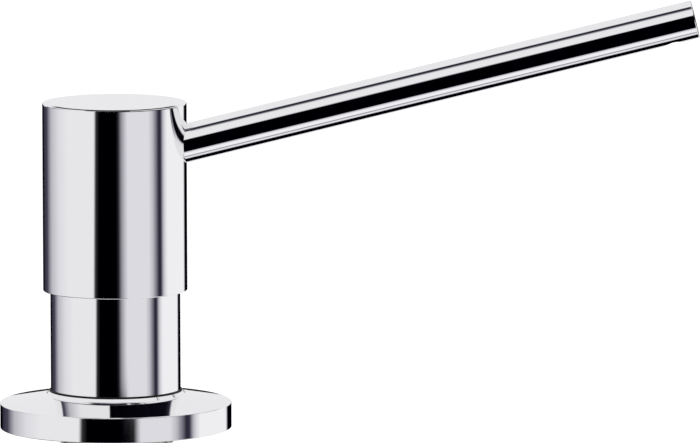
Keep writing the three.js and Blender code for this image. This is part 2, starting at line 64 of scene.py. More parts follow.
# Sizes in millimetres that follow the part's source
FIT_GAP = 0.3
CYLINDER_BORE_R = 6.5
CYLINDER_WALL = 2
CYLINDER_R = CYLINDER_BORE_R + CYLINDER_WALL
SHANK_CLEAR = 1.5
SHANK_WALL = 2.5
SHANK_BORE_R = CYLINDER_R + SHANK_CLEAR
SHANK_R = SHANK_BORE_R + SHANK_WALL
SHANK_PASS_R = SHANK_R + FIT_GAP
SHANK_BOTTOM_Z = -58
LEDGE_TOP_Z = 28
LEDGE_HEIGHT = 6
LEDGE_CLEAR = 1.8
LEDGE_BORE_R = CYLINDER_R + LEDGE_CLEAR
SHANK_TOP_Z = LEDGE_TOP_Z - LEDGE_HEIGHT

NECK_SOCKET_WALL = 1.23
NECK_WALL = 1.45
NECK_R = SHANK_PASS_R + NECK_SOCKET_WALL
NECK_BORE_R = NECK_R - NECK_WALL
NECK_POCKET_R = NECK_R + FIT_GAP
NECK_FOOT_Z = 4
NECK_TOP_Z = 40.5

FLANGE_R = 25
GASKET_INNER_R = 14.4
GASKET_OUTER_R = 22.6
GASKET_THICKNESS = 1.2

HEAD_SLIDE_GAP = 0.33
HEAD_WALL = 1.22
HEAD_TOP_WALL = 3
HEAD_OVERLAP = 10.63
HEAD_LENGTH = 40.8
HEAD_BORE_R = NECK_R + HEAD_SLIDE_GAP
HEAD_R = HEAD_BORE_R + HEAD_WALL
HEAD_BOTTOM_Z = NECK_TOP_Z - HEAD_OVERLAP
HEAD_TOP_Z = HEAD_BOTTOM_Z + HEAD_LENGTH
HEAD_ROOF_Z = HEAD_TOP_Z - HEAD_TOP_WALL

SPOUT_R = 4.18
SPOUT_WALL = 1.4
SPOUT_BORE_R = SPOUT_R - SPOUT_WALL
SPOUT_DROP = 12.68  # from the head's top down to where the two axes cross
CROSSING_Z = HEAD_TOP_Z - SPOUT_DROP
SPOUT_TILT = math.radians(13.73)
SPOUT_REACH = 125.17
SPOUT_END = SPOUT_REACH / math.cos(SPOUT_TILT)
SPOUT_ROOT = 7.48
OUTLET_R = 2.2
OUTLET_SETBACK = 4.8
TIP_WALL = 2

PAD_R = 24
PAD_TOP_Z = -20
PAD_THICKNESS = 2
PLATE_R = 23
PLATE_THICKNESS = 1.5
PLATE_TOP_Z = PAD_TOP_Z - PAD_THICKNESS
NUT_TOP_Z = PLATE_TOP_Z - PLATE_THICKNESS
NUT_HEIGHT = 10
NUT_BOTTOM_Z = NUT_TOP_Z - NUT_HEIGHT
NUT_HUB_R = 17
NUT_FLANGE_R = 21
NUT_FLANGE_HEIGHT = 2.5
WING_COUNT = 4
WING_TIP_R = 27
WING_THICKNESS = 4.5
WING_ROUND = 3

BOTTLE_R = 32
BOTTLE_WALL = 1.6
BOTTLE_MOUTH_Z = -44
BOTTLE_BOTTOM_Z = -186
BOTTLE_NECK_WALL = 2.2
BOTTLE_NECK_R = SHANK_PASS_R + BOTTLE_NECK_WALL
BOTTLE_SEAL_THICKNESS = 2
BOTTLE_LEDGE = 2.2
BOTTLE_LEDGE_Z = SHANK_BOTTOM_Z - BOTTLE_SEAL_THICKNESS
BOTTLE_THROAT_R = SHANK_PASS_R - BOTTLE_LEDGE
BOTTLE_THROAT_HEIGHT = 4
BOTTLE_SHOULDER = 13
BOTTLE_BASE_ROUND = 5
BOTTLE_PUSH_UP = 2
COLLAR_OUT = 1.8
COLLAR_HEIGHT = 2.4
COLLAR_DROP = 5

CYLINDER_FLANGE_R = 12.2
CYLINDER_FLANGE_HEIGHT = 1.4
CYLINDER_FLOOR_Z = -12
CLOSURE_GASKET_THICKNESS = 1
CYLINDER_FLANGE_Z = LEDGE_TOP_Z + CLOSURE_GASKET_THICKNESS
CYLINDER_TOP_Z = CYLINDER_FLANGE_Z + CYLINDER_FLANGE_HEIGHT
CLOSURE_THICKNESS = 1.5
CLOSURE_TOP_Z = CYLINDER_TOP_Z + CLOSURE_THICKNESS
CLOSURE_BOTTOM_Z = 20
STEM_PASS_R = 4.3
VALVE_HOUSE_R = 5.5
VALVE_HOUSE_Z = -21.97
VALVE_POCKET_R = 3.5
VALVE_FLOOR = 1.2
TAIL_R = 2.2
TAIL_BORE_R = 1.2
TAIL_LENGTH = 10
TAIL_EDGE = 0.3
TUBE_R = 3.5
TUBE_WALL = 1
TUBE_TOP_Z = VALVE_HOUSE_Z - FIT_GAP
TUBE_BOTTOM_Z = -178

CHROME_SHARE = 0.94  # of the light that the chrome gives back
CAMERA_TURN = 1.0  # degrees from the part's front to the photo's viewpoint, to the right


# Colour and material helpers

def linear(value):
    value /= 255
    return value / 12.92 if value <= 0.04045 else ((value + 0.055) / 1.055) ** 2.4


def panel(red, green, blue):
    """The light of a panel that shows as this screen colour in the chrome."""
    return (linear(red) / CHROME_SHARE, linear(green) / CHROME_SHARE, linear(blue) / CHROME_SHARE, 1.0)


class Nodes:
    """Adds nodes to a tree and links them."""

    def __init__(self, tree):
        self.tree = tree

    def new(self, kind, **settings):
        node = self.tree.nodes.new(kind)
        for key, value in settings.items():
            setattr(node, key, value)
        return node

    def put(self, socket, value):
        if isinstance(value, bpy.types.NodeSocket):
            self.tree.links.new(value, socket)
        else:
            socket.default_value = value

    def math(self, operation, *values):
        node = self.new("ShaderNodeMath", operation=operation)
        for socket, value in zip(node.inputs, values):
            self.put(socket, value)
        return node.outputs[0]

    def plus(self, a, b):
        return self.math("ADD", a, b)

    def minus(self, a, b):
        return self.math("SUBTRACT", a, b)

    def times(self, first, *others):
        for other in others:
            first = self.math("MULTIPLY", first, other)
        return first

    def scaled(self, value, factor, offset):
        return self.math("MULTIPLY_ADD", value, factor, offset)

    def absolute(self, value):
        return self.math("ABSOLUTE", value)

    def larger(self, a, b):
        return self.math("MAXIMUM", a, b)

    def smooth(self, value, low, high):
        """0 at low and 1 at high, where high may be the smaller one."""
        node = self.new("ShaderNodeMapRange", interpolation_type="SMOOTHSTEP")
        for socket, setting in zip(node.inputs, (value, low, high)):
            self.put(socket, setting)
        return node.outputs[0]

    def between(self, value, low, full, still_full, high):
        """0 below low and above high, and 1 from full to still_full."""
        return self.times(self.smooth(value, low, full), self.smooth(value, high, still_full))

    def vary(self, value, low, high):
        """Spreads a share over a range."""
        node = self.new("ShaderNodeMapRange")
        self.put(node.inputs[0], value)
        self.put(node.inputs[3], low)
        self.put(node.inputs[4], high)
        return node.outputs[0]

    def mix(self, factor, a, b):
        node = self.new("ShaderNodeMix", data_type="RGBA")
        self.put(node.inputs[0], factor)
        self.put(node.inputs[6], a)
        self.put(node.inputs[7], b)
        return node.outputs[2]

    def ramp(self, value, stops):
        node = self.new("ShaderNodeValToRGB")
        elements = node.color_ramp.elements
        while len(elements) < len(stops):
            elements.new(0.5)
        for element, (place, shade) in zip(elements, stops):
            element.position = place
            element.color = shade
        self.put(node.inputs[0], value)
        return node.outputs[0]

    def noise(self, scale, detail, roughness=0.5, stretch=None):
        """Noise by the object's own coordinates, in metres, drawn out along the axes if asked."""
        place = self.new("ShaderNodeTexCoord").outputs["Object"]
        if stretch:
            mapping = self.new("ShaderNodeMapping")
            self.put(mapping.inputs["Scale"], stretch)
            self.put(mapping.inputs["Vector"], place)
            place = mapping.outputs[0]
        node = self.new("ShaderNodeTexNoise")
        self.put(node.inputs["Scale"], scale)
        self.put(node.inputs["Detail"], detail)
        self.put(node.inputs["Roughness"], roughness)
        self.put(node.inputs["Vector"], place)
        return node.outputs["Fac"]

    def bump(self, shader, height, distance):
        node = self.new("ShaderNodeBump")
        self.put(node.inputs["Distance"], distance)
        self.put(node.inputs["Height"], height)
        self.put(shader.inputs["Normal"], node.outputs[0])

    def background(self, light, strength=1.0):
        node = self.new("ShaderNodeBackground")
        self.put(node.inputs["Color"], light)
        self.put(node.inputs["Strength"], strength)
        return node.outputs[0]

    def choose(self, factor, otherwise, chosen):
        node = self.new("ShaderNodeMixShader")
        for socket, setting in zip(node.inputs, (factor, otherwise, chosen)):
            self.put(socket, setting)
        return node.outputs[0]


def material(name, base, metallic, roughness, **sockets):
    made = bpy.data.materials.new(name)
    made.use_nodes = True
    shader = made.node_tree.nodes["Principled BSDF"]
    shader.inputs["Base Color"].default_value = base
    shader.inputs["Metallic"].default_value = metallic
    shader.inputs["Roughness"].default_value = roughness
    for key, value in sockets.items():
        shader.inputs[key.replace("_", " ")].default_value = value
    made.diffuse_color = base
    return made, shader, Nodes(made.node_tree)


# Materials

def make_chrome():
    made, shader, nodes = material("polished_chrome", (CHROME_SHARE, CHROME_SHARE, 0.945, 1), 1.0, 0.02)
    haze = nodes.noise(scale=90, detail=4, roughness=0.6)
    wipe = nodes.noise(scale=700, detail=2, stretch=(1, 1, 0.08))
    nodes.put(shader.inputs["Roughness"], nodes.vary(nodes.times(haze, wipe), 0.012, 0.045))
    return made


def make_steel(name, lay):
    """Steel with fine lines, drawn out by the stretch of its lay."""
    made, shader, nodes = material(name, (0.62, 0.62, 0.635, 1), 1.0, 0.3)
    lines = nodes.noise(scale=2600, detail=4, roughness=0.65, stretch=lay)
    cloud = nodes.noise(scale=160, detail=3)
    tint = nodes.mix(cloud, (0.56, 0.56, 0.575, 1), (0.68, 0.68, 0.69, 1))
    nodes.put(shader.inputs["Base Color"], tint)
    nodes.put(shader.inputs["Roughness"], nodes.vary(lines, 0.2, 0.44))
    nodes.bump(shader, lines, 0.00002)
    return made


def make_nickel():
    made, shader, nodes = material("satin_nickel", (0.74, 0.72, 0.68, 1), 1.0, 0.28)
    turning = nodes.noise(scale=2200, detail=3, roughness=0.6, stretch=(0.06, 0.06, 1))
    cloud = nodes.noise(scale=120, detail=4, roughness=0.6)
    tint = nodes.mix(cloud, (0.68, 0.66, 0.62, 1), (0.79, 0.77, 0.73, 1))
    nodes.put(shader.inputs["Base Color"], tint)
    nodes.put(shader.inputs["Roughness"], nodes.vary(turning, 0.2, 0.42))
    nodes.bump(shader, turning, 0.00002)
    return made


def make_plastic(name, dark, light, roughness, grain, depth, **sockets):
    made, shader, nodes = material(name, light, 0.0, roughness, **sockets)
    cloud = nodes.noise(scale=70, detail=3)
    fine = nodes.noise(scale=grain, detail=3, roughness=0.6)
    nodes.put(shader.inputs["Base Color"], nodes.mix(cloud, dark, light))
    nodes.put(shader.inputs["Roughness"], nodes.vary(fine, roughness - 0.07, roughness + 0.1))
    nodes.bump(shader, fine, depth)
    return made


def make_milky(name, transmission):
    made, shader, nodes = material(
        name, (0.84, 0.87, 0.85, 1), 0.0, 0.34,
        IOR=1.5, Transmission_Weight=transmission, Specular_IOR_Level=0.45)
    drawn = nodes.noise(scale=55, detail=4, roughness=0.55, stretch=(1, 1, 0.35))
    fine = nodes.noise(scale=1500, detail=2)
    tint = nodes.mix(drawn, (0.8, 0.835, 0.815, 1), (0.9, 0.92, 0.905, 1))
    nodes.put(shader.inputs["Base Color"], tint)
    nodes.put(shader.inputs["Roughness"], nodes.vary(fine, 0.27, 0.42))
    nodes.bump(shader, drawn, 0.00025)
    return made


chrome = make_chrome()
spun_steel = make_steel("spun_steel", (1, 1, 0.05))
wire_steel = make_steel("drawn_steel", (0.3, 0.3, 1))
nickel = make_nickel()
white_plastic = make_plastic(
    "white_plastic", dark=(0.74, 0.735, 0.71, 1), light=(0.8, 0.795, 0.775, 1),
    roughness=0.4, grain=1800, depth=0.000012)
black_plastic = make_plastic(
    "black_plastic", dark=(0.016, 0.0165, 0.018, 1), light=(0.028, 0.0285, 0.031, 1),
    roughness=0.46, grain=2400, depth=0.00003)
rubber = make_plastic(
    "black_rubber", dark=(0.012, 0.012, 0.0125, 1), light=(0.024, 0.024, 0.025, 1),
    roughness=0.68, grain=1500, depth=0.00004)
seal_rubber = make_plastic(
    "seal_rubber", dark=(0.003, 0.003, 0.0035, 1), light=(0.005, 0.005, 0.0055, 1),
    roughness=0.6, grain=1500, depth=0.00003, Specular_IOR_Level=0.2)
milky = make_milky("milky_plastic", 0.5)
milky_tube = make_milky("milky_tube", 0.4)


# Outlines: points (r, z) or (r, z, fillet) in millimetres

def arc(r, z, width, height, start, end, steps):
    """Points on an ellipse about (r, z), from one angle in degrees to another."""
    turns = [math.radians(start + (end - start) * i / steps) for i in range(steps + 1)]
    return [(r + width * math.cos(turn), z + height * math.sin(turn)) for turn in turns]


def rounded_outline(points, share=0.49):
    """Lines and arcs of a closed outline, going round with the material on the left. Each form is
    ("line", p, q, normal) or ("arc", centre, radius, side, a, b)."""
    points = [(*point, 0)[:3] for point in points]
    area = 0
    for (r0, z0, _), (r1, z1, _) in zip(points, points[1:] + points[:1]):
        area += r0 * z1 - r1 * z0
    if area < 0:
        points = points[::-1]
    count = len(points)
    cuts = []
    for i, (r, z, fillet) in enumerate(points):
        here = Vector((r, z))
        if not fillet:
            cuts.append((here, here, None))
            continue
        back = Vector(points[i - 1][:2]) - here
        ahead = Vector(points[(i + 1) % count][:2]) - here
        u, v = back.normalized(), ahead.normalized()
        half = math.acos(max(-1, min(1, u.dot(v)))) / 2
        reach = min(fillet / math.tan(half), back.length * share, ahead.length * share)
        radius = reach * math.tan(half)
        centre = here + (u + v).normalized() * (radius / math.sin(half))
        cuts.append((here + u * reach, here + v * reach, (centre, radius)))
    forms = []
    for i, (start, end, rounding) in enumerate(cuts):
        if rounding:
            centre, radius = rounding
            a = math.atan2(start.y - centre.y, start.x - centre.x)
            b = math.atan2(end.y - centre.y, end.x - centre.x)
            turn = (b - a + math.pi) % (2 * math.pi) - math.pi
            forms.append(("arc", centre, radius, 1 if turn > 0 else -1, a, a + turn))
        after = cuts[(i + 1) % count][0]
        step = after - end
        if step.length > NEAR:
            forms.append(("line", end, after, Vector((step.y, -step.x)).normalized()))
    return forms


def outline_points(forms, arc_steps=6):
    points = []
    for form in forms:
        if form[0] == "line":
            points.append(form[1])
        else:
            _, centre, radius, _, a, b = form
            for i in range(arc_steps):
                turn = a + (b - a) * i / arc_steps
                points.append(centre + radius * Vector((math.cos(turn), math.sin(turn))))
    return [p for i, p in enumerate(points) if (p - points[i - 1]).length > NEAR]


# Turned forms

def to_mesh(made, name):
    mesh = bpy.data.meshes.new(name)
    made.to_mesh(mesh)
    made.free()
    return mesh


def ring(made, radius, height, sides, slope=0):
    """Corners on a circle about Z. A slope tips it down towards X."""
    corners = []
    for j in range(sides):
        x = radius * math.cos(2 * math.pi * j / sides)
        y = radius * math.sin(2 * math.pi * j / sides)
        corners.append(made.verts.new((x * MM, y * MM, (height - slope * x) * MM)))
    return corners


def bridge(made, rings, closed=True):
    """Faces from each ring to the next one. A ring may be one point, named for each of its sides."""
    following = rings[1:] + rings[:1] if closed else rings[1:]
    for low, high in zip(rings, following):
        for j in range(len(low)):
            k = (j + 1) % len(low)
            corners = [low[j], low[k], high[k], high[j]]
            corners = [v for i, v in enumerate(corners) if v is not corners[i - 1]]
            if len(corners) > 2:
                made.faces.new(corners)


def turned_mesh(name, points, sides, closed=True):
    """An outline revolved about Z, as a mesh in metres."""
    made = bmesh.new()
    rings = []
    for r, z in points:
        if r < NEAR:
            rings.append([made.verts.new((0, 0, z * MM))] * sides)
        else:
            rings.append(ring(made, r, z, sides))
    bridge(made, rings, closed)
    return to_mesh(made, name)


def metres(place):
    """A placing in millimetres as one in metres."""
    moved = place.copy()
    moved.translation = moved.translation * MM
    return moved


def rod_mesh(radius, start, end, place, sides):
    points = [Vector((0, start)), Vector((radius, start)), Vector((radius, end)), Vector((0, end))]
    mesh = turned_mesh("rod", points, sides)
    mesh.transform(metres(place))
    return mesh


def cut(mesh, cutter):
    """The mesh less the cutter, by exact boolean."""
    whole = bpy.data.objects.new("whole", mesh)
    helper = bpy.data.objects.new("cutter", cutter)
    for item in (whole, helper):
        scene.collection.objects.link(item)
    step = whole.modifiers.new("cut", "BOOLEAN")
    step.operation = "DIFFERENCE"
    step.solver = "EXACT"
    step.object = helper
    bpy.context.view_layer.update()
    shaped = whole.evaluated_get(bpy.context.evaluated_depsgraph_get())
    done = bpy.data.meshes.new_from_object(shaped)
    for item in (whole, helper):
        bpy.data.objects.remove(item)
    return done


# Exact normals for turned forms

# How badly a corner may fit a form of the outline and still take its normal. A misfit is the
# distance in millimetres and the weighed turn of the face from the form's normal.
FIT_LIMIT = 0.35
FACING_WEIGHT = 0.6
ACROSS_WEIGHT = 0.5
# How near a corner lies to a bore's wall, in millimetres, and how squarely its face looks inwards
BORE_FIT = 0.04
BORE_FACING = 0.97


def read(items, field, width, kind):
    """A field of all the items of a mesh, as rows of an array."""
    values = np.empty(len(items) * width, dtype=kind)
    items.foreach_get(field, values)
    return values.reshape(-1, width)


def line_fit(form, r, z):
    """How far off a line of the outline each place is, and the line's normal."""
    _, p, q, n = form
    length = (q - p).length
    along = ((r - p.x) * (q.x - p.x) + (z - p.y) * (q.y - p.y)) / length
    beyond = np.maximum(0, np.maximum(-along, along - length))
    away = np.abs((r - p.x) * n.x + (z - p.y) * n.y)
    return away + beyond, np.full(len(r), n.x), np.full(len(r), n.y)


def arc_fit(form, r, z):
    """How far off an arc of the outline each place is, and the arc's normal next to it."""
    _, centre, radius, side, a, b = form
    dr, dz = r - centre.x, z - centre.y
    size = np.maximum(np.hypot(dr, dz), TINY)
    middle = (a + b) / 2
    spread = abs(b - a) / 2
    off = np.abs((np.arctan2(dz, dr) - middle + math.pi) % (2 * math.pi) - math.pi)
    beyond = np.maximum(0, off - spread) * radius
    return np.abs(size - radius) + beyond, side * dr / size, side * dz / size


def outline_normals(forms, at, facing):
    """For places on a turned surface, the normals of the forms that fit them best."""
    r = np.hypot(at[:, 0], at[:, 1])
    out = at[:, :2] / np.maximum(r, TINY)[:, None]
    facing_r = facing[:, 0] * out[:, 0] + facing[:, 1] * out[:, 1]
    across = np.abs(facing[:, 1] * out[:, 0] - facing[:, 0] * out[:, 1])
    near_axis = r < NEAR
    facing_r[near_axis] = 0
    across[near_axis] = 0
    best = np.full(len(r), FIT_LIMIT)
    normals = facing.copy()
    for form in forms:
        fit = line_fit if form[0] == "line" else arc_fit
        off, nr, nz = fit(form, r, at[:, 2])
        turned_away = 1 - (facing_r * nr + facing[:, 2] * nz)
        cost = off + FACING_WEIGHT * turned_away + ACROSS_WEIGHT * across
        better = cost < best
        best[better] = cost[better]
        normals[better] = np.column_stack((nr * out[:, 0], nr * out[:, 1], nz))[better]
    return normals


def shade_exactly(mesh, forms, place=Matrix(), bores=()):
    """Gives the corners of the faces the normals of the outline that they were turned from, so that
    a cut or a facet leaves no mark in the reflections. A bore is (point, radius) of an upright hole."""
    mesh.update()
    corners = read(mesh.loops, "vertex_index", 1, np.int32)[:, 0]
    at = read(mesh.vertices, "co", 3, np.float32)[corners].astype(float) / MM
    totals = read(mesh.polygons, "loop_total", 1, np.int32)[:, 0]
    flat = np.repeat(read(mesh.polygons, "normal", 3, np.float32).astype(float), totals, axis=0)
    back = np.array(place.inverted())
    turn = back[:3, :3]
    normals = outline_normals(forms, at @ turn.T + back[:3, 3], flat @ turn.T)
    normals = normals @ np.linalg.inv(turn).T
    for point, radius in bores:
        offset = (at - np.array(point)) * (1, 1, 0)
        size = np.linalg.norm(offset, axis=1)
        inward = -offset / np.maximum(size, TINY)[:, None]
        wall = (np.abs(size - radius) < BORE_FIT) & ((flat * inward).sum(axis=1) > BORE_FACING)
        normals[wall] = inward[wall]
    normals /= np.maximum(np.linalg.norm(normals, axis=1), TINY)[:, None]
    mesh.polygons.foreach_set("use_smooth", np.ones(len(mesh.polygons), dtype=bool))
    mesh.normals_split_custom_set(normals.tolist())


def shade_by_angle(mesh, degrees):
    mesh.polygons.foreach_set("use_smooth", [True] * len(mesh.polygons))
    mesh.set_sharp_from_angle(angle=math.radians(degrees))


# Pieces

def show(name, mesh, body, finish, slot_name, *nodes_replaced):
    piece = bpy.data.objects.new(name, mesh)
    scene.collection.objects.link(piece)
    mesh.materials.clear()
    mesh.materials.append(finish)
    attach(piece, body)
    if nodes_replaced:
        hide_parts(*nodes_replaced)
    return piece


def turned_piece(name, points, sides, *setting, arc_steps=6, share=0.49):
    """A piece turned from an outline. Its setting is what show() takes after the mesh."""
    forms = rounded_outline(points, share)
    mesh = turned_mesh(name, outline_points(forms, arc_steps), sides)
    shade_exactly(mesh, forms)
    return show(name, mesh, *setting)


def flat_ring(name, inner, outer, low, high, fillets, sides, *setting):
    """A washer. Its fillets go round from the inner edge at the bottom."""
    corners = [(inner, low), (outer, low), (outer, high), (inner, high)]
    points = [(r, z, fillet) for (r, z), fillet in zip(corners, fillets)]
    return turned_piece(name, points, sides, *setting)


# Base and neck

RIM_Z = 5.47
RIM_EDGE_IN = 0.12
RIM_EDGE_DOWN = 0.14
CONE_TOP_R = 15.0
CONE_TOP_Z = 7.28
LIP_R = 14.46
LIP_Z = 8.03
NECK_RING_GAP = 0.05
NECK_RING_DEPTH = 1.5
NECK_RING_HEIGHT = 0.38
NECK_RING_HEAD_R = 14.4
NECK_RING_SHOULDER_R = 14.36
NECK_RING_SHOULDER_Z = 8.22

turned_piece("base_shell", [
    (SHANK_PASS_R, 0, 0.1),
    (GASKET_INNER_R - FIT_GAP, 0, 0.1),
    (GASKET_INNER_R - FIT_GAP, GASKET_THICKNESS),
    (GASKET_OUTER_R + FIT_GAP, GASKET_THICKNESS),
    (GASKET_OUTER_R + FIT_GAP, 0, 0.1),
    (FLANGE_R, 0, 0.15),
    (FLANGE_R, RIM_Z - RIM_EDGE_DOWN, 0.15),
    (FLANGE_R - RIM_EDGE_IN, RIM_Z, 0.15),
    (CONE_TOP_R, CONE_TOP_Z, 0.3),
    (LIP_R, LIP_Z, 0.06),
    (NECK_POCKET_R, LIP_Z, 0.03),
    (NECK_POCKET_R, NECK_FOOT_Z),
    (SHANK_PASS_R, NECK_FOOT_Z),
], WIDE_SIDES, "base", chrome, "chrome", "base_flange", arc_steps=30, share=0.94)

turned_piece("neck_seal_ring", [
    (NECK_R + NECK_RING_GAP, LIP_Z - NECK_RING_DEPTH, 0.05),
    (NECK_POCKET_R - NECK_RING_GAP, LIP_Z - NECK_RING_DEPTH, 0.05),
    (NECK_POCKET_R - NECK_RING_GAP, LIP_Z + NECK_RING_GAP),
    (NECK_RING_HEAD_R, LIP_Z + NECK_RING_GAP, 0.02),
    (NECK_RING_SHOULDER_R, NECK_RING_SHOULDER_Z, 0.04),
    (NECK_R + NECK_RING_GAP, LIP_Z + NECK_RING_HEIGHT),
], WIDE_SIDES, "base", seal_rubber, "rubber", "neck_ring")

turned_piece("neck_shell", [
    (SHANK_PASS_R, NECK_FOOT_Z),
    (NECK_R, NECK_FOOT_Z),
    (NECK_R, NECK_TOP_Z, 0.4),
    (NECK_BORE_R, NECK_TOP_Z, 0.2),
    (NECK_BORE_R, LEDGE_TOP_Z, 0.3),
    (LEDGE_BORE_R, LEDGE_TOP_Z, 0.2),
    (LEDGE_BORE_R, SHANK_TOP_Z),
    (SHANK_PASS_R, SHANK_TOP_Z),
], WIDE_SIDES, "base", chrome, "chrome", "neck_sleeve")


# Head and spout

# The head's top edge, from its side to its flat top: inwards, down and the fillet
HEAD_CROWN = [
    (0, 0.3, 0.03),
    (0.035, 0.165, 0.02),
    (0.16, 0.045, 0.03),
    (1.27, 0, 0),
]
SPOUT_HOLE_GAP = 0.03
SPOUT_HOLE_OVERRUN = 8
OUTLET_OVERRUN = 1.5

spout_place = (
    Matrix.Translation((0, 0, CROSSING_Z)) @ Matrix.Rotation(math.pi / 2 - SPOUT_TILT, 4, "Y"))


def make_head():
    points = [(HEAD_BORE_R, HEAD_BOTTOM_Z, 0.12), (HEAD_R, HEAD_BOTTOM_Z, 0.19)]
    points += [(HEAD_R - inwards, HEAD_TOP_Z - down, fillet) for inwards, down, fillet in HEAD_CROWN]
    points += [(0, HEAD_TOP_Z), (0, HEAD_ROOF_Z), (HEAD_BORE_R, HEAD_ROOF_Z, 0.5)]
    forms = rounded_outline(points)
    mesh = turned_mesh("head_shell", outline_points(forms), WIDE_SIDES)
    hole = rod_mesh(
        SPOUT_R + SPOUT_HOLE_GAP, SPOUT_ROOT, HEAD_R + SPOUT_HOLE_OVERRUN, spout_place, MID_SIDES)
    mesh = cut(mesh, hole)
    shade_exactly(mesh, forms)
    show("head_shell", mesh, "head", chrome, "chrome", "head_sleeve")


def make_spout():
    forms = rounded_outline([
        (SPOUT_BORE_R, SPOUT_ROOT, 0.1),
        (SPOUT_R, SPOUT_ROOT, 0.2),
        (SPOUT_R, SPOUT_END, 0.2),
        (0, SPOUT_END),
        (0, SPOUT_END - TIP_WALL),
        (SPOUT_BORE_R, SPOUT_END - TIP_WALL, 0.3),
    ])
    mesh = turned_mesh("spout_shell", outline_points(forms), TUBE_SIDES)
    mesh.transform(metres(spout_place))
    outlet = spout_place @ Vector((0, 0, SPOUT_END - OUTLET_SETBACK))
    drill = rod_mesh(OUTLET_R, -SPOUT_R - OUTLET_OVERRUN, 0, Matrix.Translation(outlet), SMALL_SIDES)
    mesh = cut(mesh, drill)
    shade_exactly(mesh, forms, spout_place, [(outlet, OUTLET_R)])
    show("spout_shell", mesh, "head", chrome, "chrome", "spout_tube", "spout_tip_plug")


make_head()
make_spout()


# Shank

THREAD_TOP_Z = -1.0
THREAD_PITCH = 2.0
THREAD_LEAD = 1.3  # the lead-in at both ends
THREAD_DEPTH_SHARE = 0.6  # of the pitch, as the next two
THREAD_CREST_SHARE = 0.07
THREAD_FLANK_SHARE = 0.33
THREAD_ROWS_PER_TURN = 12
THREAD_FLAT = 1e-7  # metres that a face of the thread rises at least
SHANK_EDGE = 0.8
SHANK_BORE_EDGE = 0.3
SHANK_FOOT_EDGE = 0.4


def thread_skin(low, high, radius, sides):
    """The outer skin of a threaded rod, with a real helix and a lead-in at both ends."""
    turns = (high - low) / THREAD_PITCH
    made = bmesh.new()
    rows = []
    for k in range(math.ceil((turns + 1) * THREAD_ROWS_PER_TURN) + 1):
        row = []
        for j in range(sides + 1):
            share = j / sides
            z = low + THREAD_PITCH * (k / THREAD_ROWS_PER_TURN - 1 + share)
            z = min(max(z, low), high)
            phase = ((z - low) / THREAD_PITCH - share) % 1
            flank = (abs(phase - 0.5) - THREAD_CREST_SHARE) / THREAD_FLANK_SHARE
            r = radius - THREAD_DEPTH_SHARE * THREAD_PITCH * min(max(flank, 0), 1)
            r = min(r, radius - THREAD_LEAD + (z - low), radius - THREAD_LEAD + (high - z))
            a = 2 * math.pi * share
            row.append(made.verts.new((r * MM * math.cos(a), r * MM * math.sin(a), z * MM)))
        rows.append(row)
    for under, over in zip(rows, rows[1:]):
        for j in range(sides):
            corners = [under[j], under[j + 1], over[j + 1], over[j]]
            heights = [round(v.co.z, 7) for v in corners]
            if max(heights) - min(heights) > THREAD_FLAT:
                made.faces.new(corners)
    loose = [v for v in made.verts if not v.link_faces]
    bmesh.ops.delete(made, geom=loose, context="VERTS")
    bmesh.ops.remove_doubles(made, verts=made.verts, dist=MERGE)
    return to_mesh(made, "thread_skin")


def make_shank():
    skin = thread_skin(SHANK_BOTTOM_Z, THREAD_TOP_Z, SHANK_R, SMALL_SIDES)
    rest = turned_mesh("shank_rest", [
        (SHANK_R - THREAD_LEAD, THREAD_TOP_Z),
        (SHANK_R, THREAD_TOP_Z + THREAD_LEAD),
        (SHANK_R, SHANK_TOP_Z - SHANK_EDGE),
        (SHANK_R - SHANK_EDGE, SHANK_TOP_Z),
        (SHANK_BORE_R + SHANK_BORE_EDGE, SHANK_TOP_Z),
        (SHANK_BORE_R, SHANK_TOP_Z - SHANK_BORE_EDGE),
        (SHANK_BORE_R, SHANK_BOTTOM_Z + SHANK_FOOT_EDGE),
        (SHANK_BORE_R + SHANK_FOOT_EDGE, SHANK_BOTTOM_Z),
        (SHANK_R - THREAD_LEAD, SHANK_BOTTOM_Z),
    ], SMALL_SIDES, closed=False)
    made = bmesh.new()
    made.from_mesh(skin)
    made.from_mesh(rest)
    bmesh.ops.remove_doubles(made, verts=made.verts, dist=MERGE)
    bmesh.ops.recalc_face_normals(made, faces=made.faces)
    mesh = to_mesh(made, "shank")
    shade_by_angle(mesh, degrees=32)
    show("shank", mesh, "base", nickel, "shank_metal", "threaded_shank")


make_shank()


# Gasket and clamp

GASKET_PLAY = 0.02
WING_ROOT_R = 15.2
WING_ROUND_STEPS = 8
WING_BEVEL = 0.7
WING_BEVEL_FROM_R = 16.5  # further in, the edges lie in the hub
WING_SHARP = math.radians(50)

flat_ring(
    "gasket_ring", GASKET_INNER_R, GASKET_OUTER_R, GASKET_PLAY, GASKET_THICKNESS - GASKET_PLAY,
    (0.2, 0.2, 0.3, 0.3), MID_SIDES, "base", rubber, "rubber", "flange_gasket")
flat_ring(
    "pad_ring", SHANK_PASS_R, PAD_R, PLATE_TOP_Z, PAD_TOP_Z,
    (0.3, 0.5, 0.5, 0.3), MID_SIDES, "clamp", rubber, "rubber", "deck_pad")
flat_ring(
    "plate_ring", SHANK_PASS_R, PLATE_R, NUT_TOP_Z, PLATE_TOP_Z,
    (0.2, 0.5, 0.3, 0.2), MID_SIDES, "clamp", spun_steel, "stainless", "clamp_plate")


